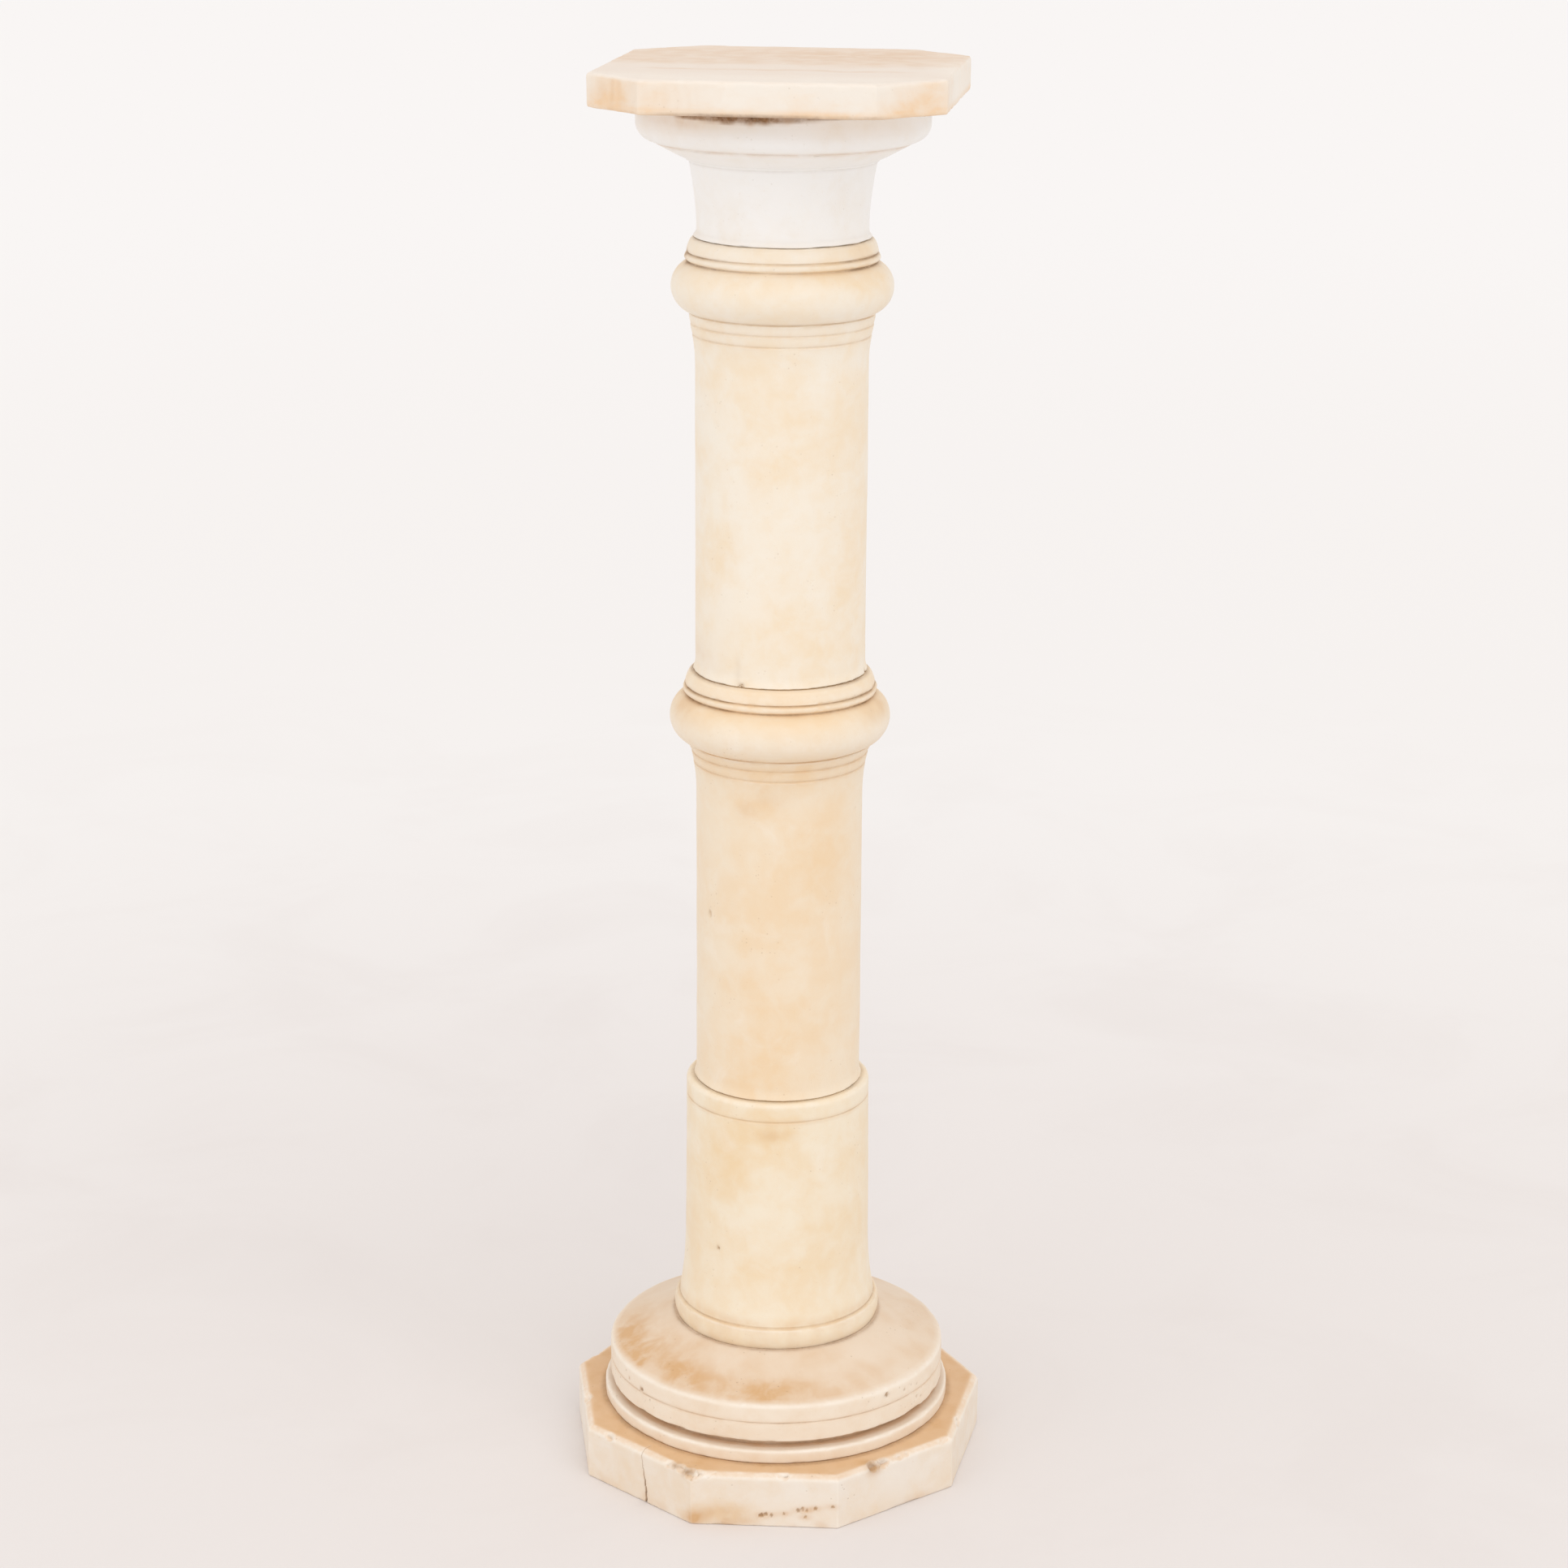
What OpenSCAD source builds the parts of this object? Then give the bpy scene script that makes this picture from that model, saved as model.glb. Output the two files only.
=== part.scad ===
// Column pedestal of seven stacked stone pieces: a nine-sided plinth, a turned
// base, three shaft sections, a capital and a slab with canted corners.
// Millimetres, +Z up, origin at the centre of the plinth's underside.

/* [Plinth] */
// Number of sides of the plinth
plinth_sides = 9; // [6:1:12]
// Distance from the axis to each corner of the plinth
plinth_corner_r = 151.5; // [145:0.5:200]
// Height of the plinth
plinth_h = 40; // [25:0.5:80]
// Width and height of the bevel along the top edges of the plinth
plinth_bevel = 3; // [1:0.5:8]
// Turn of the plinth about the column's axis
plinth_turn = 6.9; // [-20:0.1:20]

/* [Turned base] */
// Radius of the low ring that meets the plinth
ring_r = 125.5; // [115:0.5:140]
// Height of the low ring
ring_h = 10; // [6:0.5:20]
// Depth of the groove between the low ring and the disc, from the disc's edge
groove_depth = 8; // [3:0.5:20]
// Height of the groove
groove_h = 4.5; // [2:0.5:10]
// Radius of the disc
disc_r = 121.5; // [110:0.5:140]
// Height of the disc's upright edge
disc_edge_h = 29.5; // [15:0.5:50]
// Rounding where the disc's edge turns into its top
disc_roll = 4; // [2:0.5:8]
// Rise of the disc's sloping top up to the shaft
disc_rise = 19.5; // [8:0.5:40]

/* [Lower shaft] */
// Radius of the foot ring
foot_r = 74.6; // [70:0.2:90]
// Height of the foot ring
foot_h = 14.8; // [8:0.2:30]
// Radius of the lower drum above its flare
lower_r = 66.3; // [62:0.2:68]
// How far the lower drum flares out at its foot
lower_flare = 4.6; // [1:0.2:6]
// Height over which the lower drum flares
lower_flare_h = 58; // [20:1:100]
// Height of the lower shaft, foot ring and collar included
lower_h = 184; // [140:1:260]
// Height of the collar
collar_h = 13.8; // [8:0.2:24]
// Rounding of the collar's top edge
collar_roll = 3.5; // [1:0.5:6]

/* [Middle and upper shafts] */
// Radius of the middle drum
middle_r = 58.4; // [52:0.2:62]
// Height of the middle shaft, mouldings included
middle_h = 300; // [200:1:420]
// How far the middle knop stands out from its drum
middle_knop_out = 18.5; // [14:0.5:26]
// Radius of the upper drum
upper_r = 59; // [52:0.2:62]
// Height of the upper shaft, mouldings included
upper_h = 299; // [200:1:420]
// How far the upper knop stands out from its drum
upper_knop_out = 16.4; // [14:0.2:26]
// Height of the curve by which a drum widens towards its fillets
apophyge_h = 24; // [10:1:40]
// Height of the lower and of the upper fillet under a knop
fillet_h = 7.7; // [4:0.1:12]
// Height of a knop
knop_h = 34.2; // [20:0.2:50]
// How far a knop's round swells out from its own ends
knop_bulge = 10.4; // [4:0.2:12]
// Height of the bead on a knop
bead_h = 5.9; // [3:0.1:10]
// Height of the cushion band above the bead
cushion_h = 10; // [5:0.5:16]

/* [Capital] */
// Height of the capital
capital_h = 91; // [80:1:140]
// Radius of the neck where it is narrowest
neck_r = 58.1; // [50:0.2:62]
// How far the neck widens at its foot
neck_foot_out = 2.4; // [0.5:0.1:4]
// How far the neck widens at its top
neck_top_out = 5.2; // [2:0.2:8]
// Radius of the capital's round rim
echinus_r = 98.5; // [85:0.5:112]
// Height of the rim, from its lower arris to the slab
rim_h = 27.5; // [18:0.5:36]
// Height of the hollow curve between the neck and the rim
hollow_h = 13; // [6:0.5:20]
// How far the rim's lower arris lies inside the rim
rim_undercut = 11.5; // [6:0.5:20]

/* [Top slab] */
// Width of the slab, side to side
slab_w = 234; // [200:1:300]
// Depth of the slab, front to back
slab_d = 244; // [200:1:300]
// Length cut off each side at the canted corners
slab_cant = 41; // [10:1:80]
// Thickness of the slab
slab_h = 22.5; // [15:0.5:50]
// Bevel along the upper edges of the slab
slab_bevel = 1.5; // [0.5:0.5:4]
// Turn of the slab about the column's axis
slab_turn = -8.1; // [-20:0.1:20]

/* [Hidden] */
$fn = 96;

// Steps along each rounded stretch of a profile
ARC_STEPS = 10;
// Depth and half height of the fine lines cut round the turned pieces
LINE_DEPTH = 0.9;
LINE_HALF = 0.7;
// Small arris taken off where one stone meets the next
ARRIS = 0.8;

// Rounding of the base's narrow edges and of the rim's top edge
EDGE_ROLL = 2;
// Flat landing left round the foot ring
FOOT_LANDING = 0.8;
// How far the two fillets under a knop stand out from the drum
FILLET_STEPS = [2, 3.4];
// How far a bead swells, and stands out from the end of its knop
BEAD_OUT = 1.4;
// How far, and over what height, a drum widens at its foot
DRUM_FOOT_OUT = 1.6;
DRUM_FOOT_H = 8;
// How far the crown of a shaft lies inside its bead
CROWN_IN = 5.4;
// Height of the curve at the foot of the neck, and of the straight stretch above it
NECK_FOOT_H = 5;
NECK_STRAIGHT_H = 4;
// Angle through which the disc's rounded edge turns before the top slopes away
DISC_ROLL_ANGLE = 70;
// How sharply each curve bends: 1 is straight, and more keeps the bend near the wide end
FOOT_BEND = 2;
FLARE_BEND = 2.5;
NECK_BEND = 1.6;
HOLLOW_BEND = 0.9;
CUSHION_BEND = 0.6;
// Length of the cutter that bevels a straight edge
BEVEL_REACH = 400;

// Underside of each piece
base_z = plinth_h;
base_h = ring_h + groove_h + disc_edge_h + disc_rise;
lower_z = base_z + base_h;
middle_z = lower_z + lower_h;
upper_z = middle_z + middle_h;
capital_z = upper_z + upper_h;
slab_z = capital_z + capital_h;

// Points along an arc about [r, z], from angle a to angle b, 0 pointing outwards
function arc(r, z, radius, a, b) =
    [for (i = [0:ARC_STEPS]) let (t = a + (b - a) * i / ARC_STEPS)
        [r + radius * cos(t), z + radius * sin(t)]];

// Points of a curve that widens slowly at first, from one point up to another
function widening(from, to, power) =
    [for (i = [0:ARC_STEPS]) let (t = i / ARC_STEPS)
        [from[0] + (to[0] - from[0]) * pow(t, power), from[1] + (to[1] - from[1]) * t]];

// Points of a curve that narrows quickly at first, from one point up to another
function narrowing(from, to, power) =
    [for (i = [0:ARC_STEPS]) let (t = i / ARC_STEPS)
        [to[0] + (from[0] - to[0]) * pow(1 - t, power), from[1] + (to[1] - from[1]) * t]];

// A fine V-shaped line cut into a surface of radius r at height z
function line_cut(r, z) =
    [[r, z - LINE_HALF], [r - LINE_DEPTH, z], [r, z + LINE_HALF]];

// A round swell of the given height whose ends lie bulge inside its widest radius
function swell(r_max, z, height, bulge) =
    let (half = height / 2,
         radius = (half * half + bulge * bulge) / (2 * bulge),
         angle = bulge < half ? asin(half / radius) : 180 - asin(half / radius))
    arc(r_max - radius, z + half, radius, -angle, angle);

// A long drum with two fillets, a knop, a bead and a cushion band on top
function shaft_profile(height, drum_r, knop_out) =
    let (knop_r = drum_r + knop_out,
         end_r = knop_r - knop_bulge,
         bead_z = height - cushion_h - bead_h,
         knop_z = bead_z - knop_h,
         fillet_z = knop_z - fillet_h,
         low_z = fillet_z - fillet_h,
         low_r = drum_r + FILLET_STEPS[0],
         fillet_r = drum_r + FILLET_STEPS[1],
         bead_r = end_r + BEAD_OUT,
         crown_r = bead_r - CROWN_IN)
    concat(
        [[0, 0], [drum_r + DRUM_FOOT_OUT - ARRIS, 0]],
        narrowing([drum_r + DRUM_FOOT_OUT, ARRIS], [drum_r, DRUM_FOOT_H], FOOT_BEND),
        widening([drum_r, low_z - apophyge_h], [low_r, low_z - LINE_HALF], FLARE_BEND),
        line_cut(low_r, low_z),
        line_cut(fillet_r, fillet_z),
        [[end_r - BEAD_OUT, knop_z - LINE_HALF], [end_r - 2 * BEAD_OUT, knop_z]],
        swell(knop_r, knop_z + LINE_HALF, knop_h - 2 * LINE_HALF, knop_bulge),
        [[end_r - BEAD_OUT, bead_z]],
        swell(bead_r, bead_z + LINE_HALF, bead_h - 2 * LINE_HALF, BEAD_OUT),
        [[end_r - BEAD_OUT, height - cushion_h]],
        narrowing([end_r, height - cushion_h + LINE_HALF], [crown_r, height - ARRIS],
                  CUSHION_BEND),
        [[crown_r - ARRIS, height], [0, height]]);

// The round base: ring, undercut groove, disc with a line, sloping top
function base_profile() =
    let (disc_z = ring_h + groove_h,
         line_z = disc_z + disc_edge_h / 2,
         top_z = disc_z + disc_edge_h,
         groove_r = disc_r - groove_depth)
    concat(
        [[0, 0], [ring_r - ARRIS, 0], [ring_r, ARRIS]],
        arc(ring_r - EDGE_ROLL, ring_h - EDGE_ROLL, EDGE_ROLL, 0, 90),
        [[groove_r, ring_h], [groove_r, disc_z]],
        arc(disc_r - EDGE_ROLL, disc_z + EDGE_ROLL, EDGE_ROLL, -90, 0),
        line_cut(disc_r, line_z),
        arc(disc_r - disc_roll, top_z - disc_roll, disc_roll, 0, DISC_ROLL_ANGLE),
        [[foot_r + FOOT_LANDING, base_h], [0, base_h]]);

// The short drum: foot ring, flare, fine line and collar
function lower_profile() =
    let (collar_r = lower_r - ARRIS)
    concat(
        [[0, 0], [foot_r - BEAD_OUT, 0]],
        swell(foot_r, ARRIS, foot_h - 2 * ARRIS, BEAD_OUT),
        [[lower_r + lower_flare - ARRIS, foot_h]],
        narrowing([lower_r + lower_flare, foot_h + ARRIS], [lower_r, foot_h + lower_flare_h],
                  FLARE_BEND),
        line_cut(collar_r, lower_h - collar_h),
        arc(collar_r - collar_roll, lower_h - collar_roll, collar_roll, 0, 90),
        [[0, lower_h]]);

// The capital: flared neck, hollow curve, and the rim's quarter round and band
function capital_profile() =
    let (rim_z = capital_h - rim_h,
         neck_top_z = rim_z - hollow_h,
         arris_r = echinus_r - rim_undercut,
         neck_top_r = neck_r + neck_top_out)
    concat(
        [[0, 0], [neck_r + neck_foot_out - ARRIS, 0]],
        narrowing([neck_r + neck_foot_out, ARRIS], [neck_r, NECK_FOOT_H], FOOT_BEND),
        widening([neck_r, NECK_FOOT_H + NECK_STRAIGHT_H], [neck_top_r, neck_top_z], NECK_BEND),
        [[neck_top_r + FILLET_STEPS[0], neck_top_z + ARRIS]],
        widening([neck_top_r + FILLET_STEPS[0], neck_top_z + 2 * ARRIS],
                 [arris_r - ARRIS, rim_z - LINE_HALF], HOLLOW_BEND),
        [[arris_r - LINE_DEPTH, rim_z]],
        [for (p = arc(0, 0, 1, -90, 0))
            [arris_r + rim_undercut * p[0], rim_z + LINE_HALF + rim_undercut * (1 + p[1])]],
        [[echinus_r, capital_h - EDGE_ROLL], [echinus_r - EDGE_ROLL, capital_h], [0, capital_h]]);

// A rectangle with its four corners cut straight across
function canted(w, d, cant) =
    [for (q = [[1, -1], [1, 1], [-1, 1], [-1, -1]],
          s = q[0] * q[1] < 0 ? [0, 1] : [1, 0])
        [q[0] * (w / 2 - cant * (1 - s)), q[1] * (d / 2 - cant * s)]];

// Takes a bevel off one straight top edge, at a distance from the axis and a direction
module edge_bevel(distance, direction, top, size) {
    rotate([0, 0, direction])
        translate([distance, 0, top])
            rotate([0, 45, 0])
                translate([-BEVEL_REACH / 2, -BEVEL_REACH / 2, -size / sqrt(2)])
                    cube(BEVEL_REACH);
}

module turned(profile, z) {
    translate([0, 0, z])
        rotate_extrude()
            polygon(profile);
}

module plinth() {
    inradius = plinth_corner_r * cos(180 / plinth_sides);
    color("#efe6da")
        rotate([0, 0, plinth_turn])
            difference() {
                linear_extrude(plinth_h)
                    circle(plinth_corner_r, $fn = plinth_sides);
                for (i = [0:plinth_sides - 1])
                    edge_bevel(inradius, 360 / plinth_sides * (i + 0.5), plinth_h, plinth_bevel);
            }
}

module turned_base() {
    color("#e6cfb2")
        turned(base_profile(), base_z);
}

module lower_shaft() {
    color("#f3e3c8")
        turned(lower_profile(), lower_z);
}

module middle_shaft() {
    color("#f3d9b6")
        turned(shaft_profile(middle_h, middle_r, middle_knop_out), middle_z);
}

module upper_shaft() {
    color("#f2e4cf")
        turned(shaft_profile(upper_h, upper_r, upper_knop_out), upper_z);
}

module capital() {
    color("#f7f4ef")
        turned(capital_profile(), capital_z);
}

module top_slab() {
    cant_angle = 45;
    cant_distance = (slab_w + slab_d) / 2 * cos(cant_angle) - slab_cant * cos(cant_angle);
    color("#f1e4d3")
        translate([0, 0, slab_z])
            rotate([0, 0, slab_turn])
                difference() {
                    linear_extrude(slab_h)
                        polygon(canted(slab_w, slab_d, slab_cant));
                    for (side = [0:3]) {
                        half = side % 2 == 0 ? slab_w / 2 : slab_d / 2;
                        edge_bevel(half, 90 * side, slab_h, slab_bevel);
                        edge_bevel(cant_distance, 90 * side + cant_angle, slab_h, slab_bevel);
                    }
                }
}

plinth();
turned_base();
lower_shaft();
middle_shaft();
upper_shaft();
capital();
top_slab();
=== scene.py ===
"""Looks of the turned stone column pedestal.

Each of the seven stones is remade here as a finely divided surface with worn
arrises, chips, pits and a crack. A pale floor, soft lamps and a camera follow.
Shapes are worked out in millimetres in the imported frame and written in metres.
"""
import math

import bpy
import numpy as np
from mathutils import Euler, Matrix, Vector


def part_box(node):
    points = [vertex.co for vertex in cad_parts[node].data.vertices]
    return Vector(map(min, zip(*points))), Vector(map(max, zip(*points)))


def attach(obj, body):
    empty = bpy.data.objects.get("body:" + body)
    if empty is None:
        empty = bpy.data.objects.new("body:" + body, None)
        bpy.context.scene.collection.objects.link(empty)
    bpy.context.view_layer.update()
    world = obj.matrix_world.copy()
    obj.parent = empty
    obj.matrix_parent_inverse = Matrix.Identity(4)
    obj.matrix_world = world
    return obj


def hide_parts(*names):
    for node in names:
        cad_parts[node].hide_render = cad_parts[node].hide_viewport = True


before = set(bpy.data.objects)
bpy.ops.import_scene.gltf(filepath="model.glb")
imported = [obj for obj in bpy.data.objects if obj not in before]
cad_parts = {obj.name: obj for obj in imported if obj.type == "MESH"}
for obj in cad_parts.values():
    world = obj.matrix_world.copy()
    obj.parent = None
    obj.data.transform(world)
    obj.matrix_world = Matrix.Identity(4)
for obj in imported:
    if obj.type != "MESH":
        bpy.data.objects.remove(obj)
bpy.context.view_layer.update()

MM = 0.001

# Angles about Z, in degrees, that look to the front and to the back, where each round stone's seam is
FRONT, BACK = -90.0, 90.0

# Sizes of the mouldings, in mm, the same as the solids have
ARRIS = 0.8
LINE_DEPTH, LINE_HALF = 0.9, 0.7
BEAD_OUT = 1.4
FILLET_STEPS = (2.0, 3.4)

# Fineness of the surfaces: a bend slighter than SLIGHT_TURN isn't eased, points of a profile nearer
# than SHORTEST mm are merged, and each upright corner of a prism has CORNER_COLUMNS columns
SLIGHT_TURN = math.cos(math.radians(14))
SHORTEST = 0.12
CORNER_COLUMNS = 7


# --------------- outlines

def node_span(node):
    """Lowest and highest z of a CAD node, in mm."""
    low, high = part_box(node)
    return low.z / MM, high.z / MM


def arc(centre_r, centre_z, radius, start, end, count=14):
    """Points on a circle about (centre_r, centre_z), from angle start to end, 0 pointing outwards."""
    a = np.radians(np.linspace(start, end, count))
    return np.stack([centre_r + radius * np.cos(a), centre_z + radius * np.sin(a)], -1)


def widening(low, high, bend, count=14):
    """Rises evenly from low to high, while the radius grows with the height to the power bend."""
    t = np.linspace(0, 1, count)
    return np.stack([low[0] + (high[0] - low[0]) * t ** bend, low[1] + (high[1] - low[1]) * t], -1)


def narrowing(low, high, bend, count=14):
    """The reverse of widening: the radius falls with the height left to the power bend."""
    t = np.linspace(0, 1, count)
    return np.stack([high[0] + (low[0] - high[0]) * (1 - t) ** bend, low[1] + (high[1] - low[1]) * t], -1)


def swell(widest, z, height, bulge, count=16):
    """Round swell: a circle's arc of the given height whose ends lie bulge inside its widest radius."""
    half = height / 2
    radius = (half * half + bulge * bulge) / (2 * bulge)
    angle = math.degrees(math.asin(min(1, half / radius)))
    if bulge > half:
        angle = 180 - angle
    return arc(widest - radius, z + half, radius, -angle, angle, count)


def line_cut(r, z):
    """Fine V-shaped line round the stone, LINE_DEPTH deep."""
    return [(r, z - LINE_HALF), (r - LINE_DEPTH, z), (r, z + LINE_HALF)]


def outline(corners, rounding, step):
    """Profile through corner points with each corner eased.

    A corner that turns enough to show gives way to a quadratic curve between two points that lie up
    to rounding away along its two sides, and every stretch is then divided so that no part is longer
    than step.
    """
    xy = np.concatenate([np.atleast_2d(np.asarray(c, float)) for c in corners])
    side = np.diff(xy, axis=0)
    length = np.hypot(*side.T)
    keep = np.r_[True, length > 1e-3]
    xy = xy[keep]
    side = np.diff(xy, axis=0)
    length = np.hypot(*side.T)
    unit = side / length[:, None]
    reach = np.minimum(rounding, 0.45 * np.minimum(length[:-1], length[1:]))
    straightness = (unit[:-1] * unit[1:]).sum(1)
    reach = np.where(straightness > SLIGHT_TURN, 0, reach)[:, None, None]
    t = np.linspace(0, 1, 4)[None, :, None]
    corner = xy[1:-1, None, :]
    start = corner - unit[:-1, None, :] * reach
    end = corner + unit[1:, None, :] * reach
    eased = (1 - t) ** 2 * start + 2 * t * (1 - t) * corner + t ** 2 * end
    path = np.concatenate([xy[:1], eased.reshape(-1, 2), xy[-1:]])
    path = path[np.r_[True, np.hypot(*np.diff(path, axis=0).T) > SHORTEST]]
    gap = np.hypot(*np.diff(path, axis=0).T)
    parts = np.maximum(1, np.ceil(gap / step)).astype(int)
    pieces = [a + (b - a) * np.linspace(0, 1, n, endpoint=False)[:, None]
              for a, b, n in zip(path[:-1], path[1:], parts)]
    return np.concatenate(pieces + [path[-1:]])


# --------------- surfaces

def bell(away, width):
    """1 where away is 0, falling on both sides as exp(-(away / width) squared)."""
    return np.exp(-(away / width) ** 2)


def crowd(start, end, count, spots):
    """count places from start to end, closer together round each spot (place, width, gain)."""
    s = np.linspace(start, end, 6001)
    density = np.ones_like(s)
    for place, width, gain in spots:
        density += gain * bell(s - place, width)
    total = np.r_[0, np.cumsum((density[1:] + density[:-1]) / 2)]
    return np.interp(np.linspace(0, total[-1], count, endpoint=False), total, s)


def turned(profile, columns):
    """Surface of revolution: ring i and column j is profile point i turned about Z by column j."""
    r, z = profile.T
    a = np.radians(columns)
    flat = np.ones_like(a)
    return np.stack([np.outer(r, np.cos(a)), np.outer(r, np.sin(a)), np.outer(z, flat)], -1)


def prism(corners, profile, radius, places):
    """Surface round a convex outline: each ring is the outline drawn in by the profile's inset.

    A column on an edge or a rounded corner is point - (inset + radius) * pull + radius * facing,
    where pull is how fast the corners move as the sides move in, and facing is the unit normal.
    places gives, for each side, the fractions of its length at which its columns stand.
    """
    corners = np.asarray(corners, float)
    side = np.roll(corners, -1, 0) - corners
    unit = side / np.linalg.norm(side, axis=1, keepdims=True)
    face = np.stack([unit[:, 1], -unit[:, 0]], -1)
    before = np.roll(face, 1, 0)
    pull = (before + face) / (1 + (before * face).sum(1, keepdims=True))
    point, drawn, facing = [], [], []
    for k in range(len(corners)):
        n = (k + 1) % len(corners)
        t = np.linspace(0, 1, CORNER_COLUMNS)[:, None]
        turn = before[k] * (1 - t) + face[k] * t
        turn /= np.linalg.norm(turn, axis=1, keepdims=True)
        point.append(np.repeat(corners[k][None], CORNER_COLUMNS, 0))
        drawn.append(np.repeat(pull[k][None], CORNER_COLUMNS, 0))
        facing.append(turn)
        t = places[k][:, None]
        point.append(corners[k] * (1 - t) + corners[n] * t)
        drawn.append(pull[k] * (1 - t) + pull[n] * t)
        facing.append(np.repeat(face[k][None], len(t), 0))
    point, drawn, facing = (np.concatenate(a) for a in (point, drawn, facing))
    inset = profile[:, 0][:, None, None]
    xy = point - (inset + radius) * drawn + radius * facing
    z = np.broadcast_to(profile[:, 1][:, None, None], xy.shape[:2] + (1,))
    return np.concatenate([xy, z], -1)


def facing_out(grid):
    """Unit normals: the step round the ring crossed with the step up the profile."""
    around = np.roll(grid, -1, 1) - np.roll(grid, 1, 1)
    up = np.gradient(grid, axis=0)
    n = np.cross(around, up)
    return n / np.maximum(np.linalg.norm(n, axis=-1, keepdims=True), 1e-9)


def unevenness(points, size, seed, count=18):
    """Smooth values about -1 to 1: a mean of plane waves in random directions, near size long.

    The mean of many waves is small, so it is multiplied up by spread.
    """
    spread = 2.6
    rng = np.random.default_rng(seed)
    direction = rng.normal(size=(3, count))
    direction /= np.linalg.norm(direction, axis=0)
    pitch = 2 * np.pi / (size * rng.uniform(0.6, 1.5, count))
    phase = rng.uniform(0, 2 * np.pi, count)
    return np.sin(points @ (direction * pitch) + phase).mean(-1) * spread


def scoop(grid, centre, radius, rough=0.12, seed=1):
    """Depth of a chip: inside a ball each point sinks along its normal to the ball's far wall.

    The ball's centre stands just outside the stone, and its radius wavers, so the floor is flaked.
    """
    normal = facing_out(grid)
    ball = radius * (1 + rough * unevenness(grid, radius, seed))
    away = grid - np.asarray(centre, float)
    along = (away * normal).sum(-1)
    spare = ball ** 2 - (away ** 2).sum(-1)
    depth = along + np.sqrt(np.clip(along ** 2 + spare, 0, None))
    return np.where((spare > 0) & (along < 0), depth, 0.0)


def near(grid, place, size):
    """Soft spot: 1 at a place, falling to 0 over about size. size may differ along X, Y and Z."""
    away = (grid - np.asarray(place, float)) / np.asarray(size, float)
    return np.exp(-(away ** 2).sum(-1))


def from_axis(grid):
    """Distance of each point from the column's axis."""
    return np.hypot(grid[..., 0], grid[..., 1])


def on_round(angle, z, r):
    """The point at an angle in degrees (-90 faces front), a height and a radius."""
    a = math.radians(angle)
    return (r * math.cos(a), r * math.sin(a), z)


def spots_on(grid, usual_r):
    """A function that gives a soft spot at an angle and a height on a round stone, usually at usual_r."""
    def spot(angle, z, size, r=usual_r):
        return near(grid, on_round(angle, z, r), size)
    return spot


def hollows(grid, reach=1.5):
    """How far each point lies below its own neighbourhood, in mm, averaged over reach both ways."""
    up = np.r_[0, np.cumsum(np.linalg.norm(np.diff(grid, axis=0), axis=-1).mean(1))]
    ring = np.linalg.norm(np.roll(grid, -1, 1) - grid, axis=-1).max(0)
    round_place = np.r_[0, np.cumsum(ring)]
    whole, place = round_place[-1], round_place[:-1]
    gap = np.abs(place[:, None] - place[None])
    gap = np.minimum(gap, whole - gap)
    wide_up = np.gradient(up)
    near_up = np.exp(-((up[:, None] - up[None]) / reach) ** 2 / 2) * wide_up
    near_up /= near_up.sum(1, keepdims=True)
    near_round = np.exp(-(gap / reach) ** 2 / 2) * (ring + np.roll(ring, 1))
    near_round /= near_round.sum(1, keepdims=True)
    smooth_up = np.tensordot(near_up, grid, 1)
    smooth_round = np.einsum("jk,ikc->ijc", near_round, grid, optimize=True)
    normal = facing_out(grid)
    return ((smooth_up - grid) * normal).sum(-1) + ((smooth_round - grid) * normal).sum(-1)


def ramp(x, low, high):
    """0 below low, 1 above high, and a smooth S between them."""
    t = np.clip((x - low) / (high - low), 0, 1)
    return t * t * (3 - 2 * t)


def stone(name, grid, slot, material, paint):
    """Closed mesh of one stone from its rings, which run from the underside to the top.

    Quads join neighbouring rings, and a fan to one middle point closes each end. The masks go
    with it: dirt in hollows with the dark paint, which holds painted shade too; rubbing on arrises
    with the pale paint, which holds painted highlights too; ledge where it faces up; and the rest
    from paint.
    """
    rows, cols = grid.shape[:2]
    ends = np.stack([grid[0].mean(0), grid[-1].mean(0)])
    points = np.concatenate([grid.reshape(-1, 3), ends]) * MM
    i = (np.arange(rows - 1) * cols)[:, None]
    j = np.arange(cols)[None]
    k = (j + 1) % cols
    quads = np.stack([i + j, i + k, i + cols + k, i + cols + j], -1).reshape(-1, 4)
    low, high = rows * cols, rows * cols + 1
    last = (rows - 1) * cols
    under = np.stack([np.full(cols, low), k[0], j[0]], -1)
    over = np.stack([np.full(cols, high), last + j[0], last + k[0]], -1)
    mesh = bpy.data.meshes.new(name)
    mesh.from_pydata(points.tolist(), [], quads.tolist() + under.tolist() + over.tolist())
    mesh.polygons.foreach_set("use_smooth", np.ones(len(mesh.polygons), bool))
    dip = hollows(grid)
    up = facing_out(grid)[..., 2]
    masks = {
        "grime_and_shade": paint.get("hollow_darkening", 0.6) * ramp(dip, 0.03, 0.6) + paint["dark"],
        "wear_and_highlight": paint.get("wear", 0.5) * ramp(-dip, 0.03, 0.45) + paint["pale"],
        "ledge": ramp(up, 0.35, 0.85),
        "warm": paint["warm"],
        "stain": paint["stain"],
    }
    for mask, value in masks.items():
        layer = mesh.attributes.new(mask, "FLOAT", "POINT")
        flat = np.r_[np.clip(np.broadcast_to(value, (rows, cols)), 0, 1).ravel(), np.zeros(2)]
        layer.data.foreach_set("value", flat.astype(np.float32))
    mesh.materials.append(material)
    mesh.update()
    piece = bpy.data.objects.new(name, mesh)
    bpy.context.scene.collection.objects.link(piece)
    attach(piece, "root")
    return piece


# --------------- the stones' shapes

def sink(grid, depth):
    """Moves each point in along its normal by depth."""
    return grid - facing_out(grid) * depth[..., None]


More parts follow.
